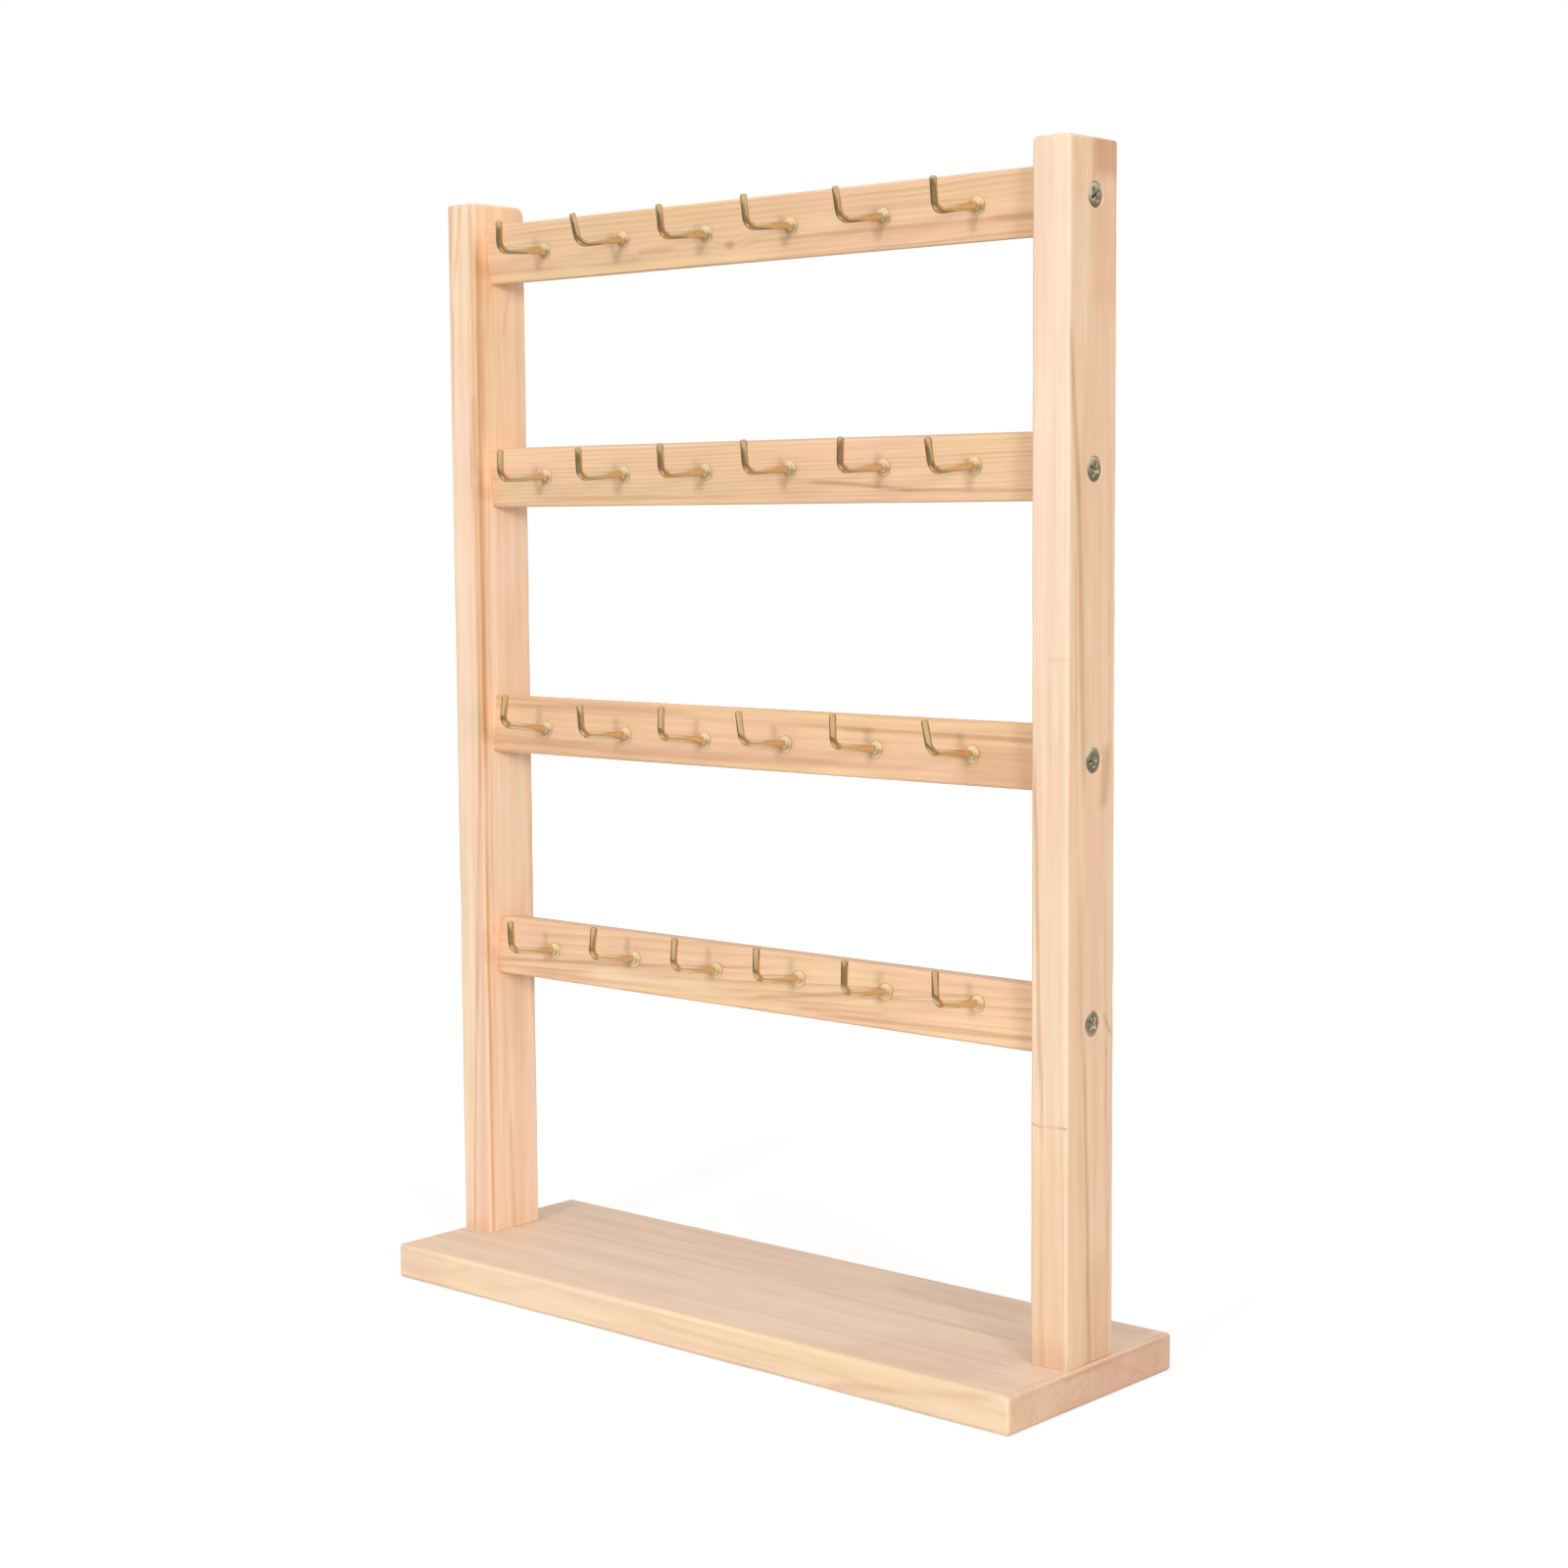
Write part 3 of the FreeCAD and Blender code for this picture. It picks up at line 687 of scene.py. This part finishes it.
# %% [markdown]
# ## Hooks set by hand
#
# Four rows of six hooks were screwed in by hand, so no two stand quite alike. The rows keep the places
# that the measured model gives: how far along the rail and above its middle each one is, how far its tip
# leans to the right, and how far its arm droops. A few tips are bent a little too far forwards or back.
# The arm alone is turned, as it is when a hook is knocked, and then the whole hook goes on the face of its
# rail, which is itself a few degrees out of true.

# %% Set the hooks
RAIL_FACE = -RAIL_SIZE[1] / 2
ARM_START = -COLLAR_FRONT - 0.2
SHARP = math.radians(40)
ROW_START, HOOK_PITCH = -103.7, 41.48
ROW_SHIFTS = (3.0, 2.0, 0.0, 3.5)
HOOK_OFFSETS = ((-0.5, 0.1, 0.7, -0.1, 0.6, -0.4), (-0.6, 0.1, 0.5, -0.2, 1.3, -0.7),
                (-0.1, 1.3, 0.7, -1.1, -0.5, 0.3), (-1.2, 0.9, 1.7, 0.6, -0.2, -1.3))
HOOK_RISES = ((-0.2, 1.1, 0.1, 0.0, 0.0, 0.7), (0.4, 0.7, 0.8, 1.2, 1.1, 1.0),
              (-1.3, -1.6, -1.6, -1.1, -0.8, -0.4), (0.4, 1.3, 1.3, 2.5, 2.1, 2.4))
HOOK_LEANS = ((3, -7, -1, -3, -5, 3), (-3, 1, -1, -3, 4, -5),
              (0, -4, -4, -13, -6, -16), (-4, 0, -4, -4, 0, -7))
HOOK_DROOPS = ((-2, 2, 0, -1, 1, 3), (-1, 0, -1, -1, -1, 1), (-3, 1, -1, 0, -1, 0), (0, -2, -2, 0, 0, 0))
TIP_BENDS = ((0, 1, 0, 0, 0, 0), (-6, 0, 0, 0, 0, 0), (0, 5, 0, 0, 0, 0), (6, 1, 0, 0, 5, 0))


def shift(x, y, z):
    return Matrix.Translation((x, y, z))


def turn(degrees, axis):
    return Matrix.Rotation(math.radians(degrees), 4, axis)


def finished(name, shape, material, node):
    """Make an object of a shape in millimetres, smooth but for its sharp edges, that stands for a node."""
    bmesh.ops.scale(shape, vec=(MILLIMETRE,) * 3, verts=shape.verts)
    for face in shape.faces:
        face.smooth = True
    for edge in shape.edges:
        edge.smooth = edge.calc_face_angle(0) < SHARP
    mesh = bpy.data.meshes.new(name)
    shape.to_mesh(mesh)
    shape.free()
    mesh.materials.append(material)
    piece = bpy.data.objects.new(name, mesh)
    bpy.context.scene.collection.objects.link(piece)
    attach(piece, "root")
    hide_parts(node)


def set_hook(row, number, material):
    """Bend one hook as its place in the tables says and put it on its rail."""
    rail, height, tilt = RAIL_PLACES[row]
    shape = bent_hook()
    tip = [vert for vert in shape.verts if vert.co.z > BEND - 0.01]
    bmesh.ops.rotate(shape, cent=(0, -REACH, BEND), verts=tip,
                     matrix=turn(TIP_BENDS[row][number], "X").to_3x3())
    arm = [vert for vert in shape.verts if vert.co.y < ARM_START]
    leaning = turn(HOOK_DROOPS[row][number], "X") @ turn(HOOK_LEANS[row][number], "Y")
    bmesh.ops.transform(shape, matrix=leaning, verts=arm)
    place = ROW_START + ROW_SHIFTS[row] + number * HOOK_PITCH + HOOK_OFFSETS[row][number]
    seat = (shift(0, RAIL_MIDDLE_Y, height) @ turn(tilt, "X")
            @ shift(place, RAIL_FACE, HOOK_RISES[row][number]))
    bmesh.ops.transform(shape, matrix=seat, verts=shape.verts)
    finished(f"hook.{rail}.{number + 1}", shape, material, f"{rail}_hook_{number + 1}")


# %% [markdown]
# ## Plated metal
#
# The hooks are plated with brass and the screws with zinc. Such plating is thin, so it is a little cloudy.
# Along a hook the tone is painted reflection: the pressed collar is painted brightest, the arm duller and the
# bend and the tip darkest, for the bright and dim parts of the room that the wire mirrors there. The collar
# is satin and the arm smoother. A single colour would make the wire look like plastic. So one function
# mixes two close tones by a soft noise and, where that is asked for, eases from one finish to the next
# along Y. A tint on the edges warms what is seen at a glancing angle.

# %% Plate the hooks and put them on
CLOUDS, CLOUD_DETAIL, CLOUD_FROM, CLOUD_BY = 180, 3, -0.6, 0.6
CLOUD_ROUGHNESS, COVER, COVER_CLOUD = 0.04, 0.9, 0.1
BEHIND_COLLAR, ON_ARM, BEFORE_BEND, IN_BEND = -0.0078, -0.0088, -0.0256, -0.0276


def metal(name, colour, other, edge, roughness, seed, along=()):
    """Plated metal that is cloudy between two tones.

    Along lists more finishes: where on Y each one starts and is reached, its tone and its roughness.
    """
    material = bpy.data.materials.new(name)
    material.use_nodes = True
    paint = Paint(material.node_tree)
    place = paint.node("TexCoord", output=OBJECT)
    cloud = paint.noise(place, CLOUDS, CLOUD_DETAIL, seed)
    surface = material.node_tree.nodes["Principled BSDF"]
    colour = paint.mix(paint.ease(cloud, CLOUD_FROM, CLOUD_BY), colour, other)
    depth = Wire(paint, paint.node("SeparateXYZ", inputs={0: place}).socket.node.outputs["Y"])
    for start, end, tone, polish in along:
        share = paint.ease(depth, end, start, 1, 0)
        colour = paint.mix(share * (cloud * COVER_CLOUD + COVER), colour, tone)
        roughness = share * (polish - roughness) + roughness
    paint.feed(surface.inputs["Base Color"], colour)
    paint.feed(surface.inputs["Metallic"], 1.0)
    paint.feed(surface.inputs["Specular Tint"], edge)
    paint.feed(surface.inputs["Roughness"], roughness + cloud * CLOUD_ROUGHNESS)
    print(name, "has", len(paint.tree.nodes), "nodes")
    return material


# The tones along each hook are painted reflection: bright at the collar, duller on the arm, darkest at the
# bend and tip.
brass = metal("brass", (0.98, 0.78, 0.48), (0.91, 0.71, 0.43), (0.85, 0.62, 0.38), 0.42, 2.0,
              along=((BEHIND_COLLAR, ON_ARM, (0.72, 0.60, 0.41), 0.20),
                     (BEFORE_BEND, IN_BEND, (0.66, 0.45, 0.225), 0.20)))
for row in range(4):
    for number in range(6):
        set_hook(row, number, brass)
    print("six hooks are on the", RAIL_PLACES[row][0])

# %% [markdown]
# ## The wood screws
#
# Eight countersunk screws hold the rails between the posts, and four more come up through the base board.
# Only their heads show. A head is a shallow dome over a cone, with a cross recess, so the screw is turned
# on the same lathe as a hook, and a tapered cross is then cut out of it by a Boolean. The cutter starts as
# a grid of nine faces without its corners, which is already a cross. A small bevel softens the recess's
# mouth, where a pressed head is never sharp.

# %% Draw half of a screw's outline
HEAD, DOME, DOME_STEPS, RIM_DEPTH = 4.2, 0.5, 8, 0.4
SHANK, SHANK_START, SHANK_STEP = 2.1, 3.2, 0.3
RAIL_SCREW, BASE_SCREW = 32.7, 35.2


def screw_outline(length):
    """Half of a screw's outline, from the top of its domed head along -Y to its point."""
    angles = [step * math.pi / 2 / DOME_STEPS for step in range(DOME_STEPS + 1)]
    head = [(DOME * math.cos(angle) - RIM_DEPTH, HEAD * math.sin(angle)) for angle in angles]
    head += [(-0.52, 4.1), (-2.3, 2.4), (-2.7, 2.15), (-SHANK_START, SHANK)]
    rings = int((length - 8.3) / SHANK_STEP)
    thread = [(-SHANK_START - SHANK_STEP * number, SHANK) for number in range(1, rings)]
    point = [(5.0 - length, SHANK), (3.6 - length, 1.75), (2.2 - length, 1.2), (1.0 - length, 0.72),
             (0.2 - length, 0.42), (-length, 0.0)]
    return head + thread + point


print("a rail screw's outline has", len(screw_outline(RAIL_SCREW)), "points")

# %% Make the cross that cuts its recess
CROSS, CROSS_ARM = 2.5, 0.62
CROSS_TOP, CROSS_HEIGHT, CROSS_TAPER = 0.3, 2.7, 0.35


def cross_cutter():
    """A tapered cross, its mouth a little above the head's face and its narrow end down -Z."""
    shape = bmesh.new()
    bmesh.ops.create_grid(shape, x_segments=3, y_segments=3, size=CROSS)
    for vert in shape.verts:
        for axis in (0, 1):
            if abs(vert.co[axis]) < CROSS / 2:
                vert.co[axis] = math.copysign(CROSS_ARM, vert.co[axis])
    corners = [face for face in shape.faces if min(abs(value) for value in face.calc_center_median()[:2]) > 1]
    bmesh.ops.delete(shape, geom=corners, context="FACES")
    bmesh.ops.translate(shape, vec=(0, 0, CROSS_TOP), verts=shape.verts)
    made = bmesh.ops.extrude_face_region(shape, geom=shape.faces)["geom"]
    lower = [item for item in made if isinstance(item, bmesh.types.BMVert)]
    narrowed = shift(0, 0, -CROSS_HEIGHT) @ Matrix.Diagonal((CROSS_TAPER, CROSS_TAPER, 1, 1))
    bmesh.ops.transform(shape, matrix=narrowed, verts=lower)
    bmesh.ops.recalc_face_normals(shape, faces=shape.faces)
    return shape


# %% Cut one shape out of another


def cut_out(shape, cutter):
    """The first shape less the second, by a Boolean modifier that is applied at once."""
    pair = []
    for name, part in (("body", shape), ("cutter", cutter)):
        mesh = bpy.data.meshes.new(name)
        part.to_mesh(mesh)
        part.free()
        pair.append(bpy.data.objects.new(name, mesh))
        bpy.context.scene.collection.objects.link(pair[-1])
    boolean = pair[0].modifiers.new("cut", "BOOLEAN")
    boolean.object = pair[1]
    boolean.solver = "EXACT"
    evaluated = pair[0].evaluated_get(bpy.context.evaluated_depsgraph_get())
    result = bpy.data.meshes.new_from_object(evaluated)
    left = bmesh.new()
    left.from_mesh(result)
    bpy.data.meshes.remove(result)
    for made in pair:
        mesh = made.data
        bpy.data.objects.remove(made)
        bpy.data.meshes.remove(mesh)
    return left


# %% Turn a screw and cut its recess
SCREW_STEPS = 28
SCREW_PITCH, SCREW_DEPTH = 1.9, 0.55
MOUTH_LEVEL, MOUTH_ANGLE, MOUTH_BEVEL = -0.05, 0.8, 0.2


def rounded(shape, edges, radius, segments):
    bmesh.ops.bevel(shape, geom=edges, offset=radius, affect="EDGES", segments=segments, profile=0.5,
                    material=-1)


def wood_screw(length):
    """A screw with its head's face at the origin and its point down -Z."""
    shape = turned(screw_outline(length), SCREW_STEPS)
    cut_thread(shape, -length + 0.3, -length * 0.45, SCREW_PITCH, SCREW_DEPTH)
    bmesh.ops.rotate(shape, cent=(0, 0, 0), matrix=turn(90, "X").to_3x3(), verts=shape.verts)
    bmesh.ops.recalc_face_normals(shape, faces=shape.faces)
    shape = cut_out(shape, cross_cutter())
    mouth = [edge for edge in shape.edges if all(vert.co.z > MOUTH_LEVEL for vert in edge.verts)
             and edge.calc_face_angle(0) > MOUTH_ANGLE]
    rounded(shape, mouth, MOUTH_BEVEL, 2)
    return shape


sample = wood_screw(RAIL_SCREW)
print("a screw has", len(sample.faces), "faces and", len(open_ring(sample)), "open edges")
sample.free()

# %% Drive the screws home
POST_FACE = POST_MIDDLE + POST_SIZE[2] / 2
RAIL_SCREW_RISES = (0.6, -1.4, -0.1, 0.2)
HEAD_SINK, SCREW_TURN, BASE_SCREW_Y = 0.1, 34, 7
zinc = metal("zinc", (0.78, 0.71, 0.54), (0.62, 0.54, 0.40), (0.9, 0.85, 0.7), 0.26, 5.0)


def drive_screw(name, node, length, seat):
    shape = wood_screw(length)
    bmesh.ops.transform(shape, matrix=seat, verts=shape.verts)
    finished(name, shape, zinc, node)


rail_seats = {-1: [], 1: []}
for row, (rail, height, tilt) in enumerate(RAIL_PLACES):
    for side_name, side in (("left", -1), ("right", 1)):
        seat = (shift(side * (POST_FACE - HEAD_SINK), RAIL_MIDDLE_Y, height + RAIL_SCREW_RISES[row])
                @ turn(90 * side, "Y") @ turn(SCREW_TURN * (row + 1) * side, "Z"))
        drive_screw(f"screw.{rail}.{side_name}", f"{rail}_{side_name}_screw", RAIL_SCREW, seat)
        rail_seats[side].append(seat)

base_seats = []
for side_name, side in (("left", -1), ("right", 1)):
    for end_name, end in (("front", -1), ("back", 1)):
        seat = (shift(side * POST_MIDDLE, end * BASE_SCREW_Y, HEAD_SINK)
                @ turn(180, "X") @ turn(SCREW_TURN * end, "Z"))
        drive_screw(f"screw.{side_name}.{end_name}", f"{side_name}_post_{end_name}_screw", BASE_SCREW, seat)
        base_seats.append(seat)
print("twelve screws are in")

# %% [markdown]
# ## The boards
#
# The boards are planed square and sanded by hand, so their long edges are rounded over, but never quite
# evenly. A scaled cube gets its rounding from a bevel. A narrow inset then keeps each face's shading flat
# right up to its rounding. Cuts across the board give the rounding points to move, and a soft noise draws
# those inwards by up to a quarter of a millimetre. A wide pocket for each screw is cut out last.

# %% Shape a board
SQUARE = math.radians(60)
FLAT, INSET, CUT_STEP = 0.99, 0.3, 7.0
SANDED, WEAR_SCALE, ROUND_GAIN = 0.25, 0.07, 3.4


def square_edges(shape):
    return [edge for edge in shape.edges if edge.calc_face_angle(0) > SQUARE]


def middle(edge):
    return (edge.verts[0].co + edge.verts[1].co) / 2


def plain_board(size):
    """A block about the origin, with its length along X."""
    shape = bmesh.new()
    bmesh.ops.create_cube(shape, size=1)
    bmesh.ops.scale(shape, vec=size, verts=shape.verts)
    return shape


def sanded(shape, length, seed):
    """Keep the faces flat and draw the rounded edges in by a little, here more and there less."""
    flat = [face for face in shape.faces if max(abs(value) for value in face.normal) > FLAT]
    bmesh.ops.inset_individual(shape, faces=flat, thickness=INSET, use_even_offset=True)
    cuts = round(length / CUT_STEP)
    for number in range(1, cuts):
        place = (number / cuts - 0.5) * length
        bmesh.ops.bisect_plane(shape, geom=shape.verts[:] + shape.edges[:] + shape.faces[:],
                               dist=TOUCHING, plane_co=(place, 0, 0), plane_no=(1, 0, 0))
    shape.normal_update()
    for vert in shape.verts:
        roundness = 1 - max(abs(value) for value in vert.normal)
        wear = noise.noise(vert.co * WEAR_SCALE + Vector((seed, 0, 0))) + 0.5
        vert.co -= vert.normal * min(1, roundness * ROUND_GAIN) * SANDED * max(0, wear)
    return shape


sample = sanded(plain_board(RAIL_SIZE), RAIL_SIZE[0], 0.0)
print("a sanded rail has", len(sample.faces), "faces before its edges are rounded")
sample.free()

# %% Cut the pockets for the screws
POCKET = ((1.2, 0.0), (1.2, 4.6), (0.16, 4.45), (-0.1, 4.3), (-0.5, 4.23), (-2.3, 2.5), (-2.3, 0.0))


def pocket(seat):
    shape = turned(POCKET, SCREW_STEPS)
    bmesh.ops.transform(shape, matrix=seat @ turn(90, "X"), verts=shape.verts)
    bmesh.ops.recalc_face_normals(shape, faces=shape.faces)
    return shape


def together(shapes):
    """One shape made of several that lie apart."""
    whole = bmesh.new()
    for shape in shapes:
        mesh = bpy.data.meshes.new("part")
        shape.to_mesh(mesh)
        shape.free()
        whole.from_mesh(mesh)
        bpy.data.meshes.remove(mesh)
    return whole


# %% Set the base board
BASE_ROUND, POST_ROUND, RAIL_ROUND, ROUND_SEGMENTS = 1.5, 1.0, 0.8, 3

base = plain_board(BASE_SIZE)
rounded(base, square_edges(base), BASE_ROUND, ROUND_SEGMENTS)
bmesh.ops.transform(sanded(base, BASE_SIZE[0], 1.0), matrix=shift(0, 0, BASE_SIZE[2] / 2), verts=base.verts)
base = cut_out(base, together(pocket(seat) for seat in base_seats))
print("the base board has", len(base.faces), "faces and", len(open_ring(base)), "open edges")
finished("base.board", base, base_pine, "base_board")

# %% Set the posts
POST_END, POST_BACK = POST_SIZE[0] / 2, POST_SIZE[1] / 2
WORN_BACK, WORN_SEGMENTS = 3.6, 5

for side_name, side, material in (("left", -1, left_pine), ("right", 1, right_pine)):
    post = plain_board(POST_SIZE)
    if side < 0:
        top_back = [edge for edge in post.edges
                    if middle(edge).x > POST_END - 1 and middle(edge).y > POST_BACK - 1]
        rounded(post, top_back, WORN_BACK, WORN_SEGMENTS)
    but_for_foot = [edge for edge in square_edges(post) if middle(edge).x > 1 - POST_END]
    rounded(post, but_for_foot, POST_ROUND, ROUND_SEGMENTS)
    bmesh.ops.transform(sanded(post, POST_SIZE[0], 5.0 + side), verts=post.verts,
                        matrix=shift(side * POST_MIDDLE, 0, POST_HEIGHT) @ turn(-90, "Y"))
    post = cut_out(post, together(pocket(seat) for seat in rail_seats[side]))
    print("the", side_name, "post has", len(post.faces), "faces and", len(open_ring(post)), "open edges")
    finished(f"post.{side_name}", post, material, f"{side_name}_post")

# %% Set the rails
for number, (name, height, tilt) in enumerate(RAIL_PLACES):
    rail = plain_board(RAIL_SIZE)
    long_edges = [edge for edge in rail.edges if abs(middle(edge).x) < 1]
    rounded(rail, long_edges, RAIL_ROUND, ROUND_SEGMENTS)
    bmesh.ops.transform(sanded(rail, RAIL_SIZE[0], 9.0 + number), verts=rail.verts,
                        matrix=shift(0, RAIL_MIDDLE_Y, height) @ turn(tilt, "X"))
    print("the", name, "has", len(rail.faces), "faces and", len(open_ring(rail)), "open edges")
    finished(name.replace("_", "."), rail, rail_pines[name], name)
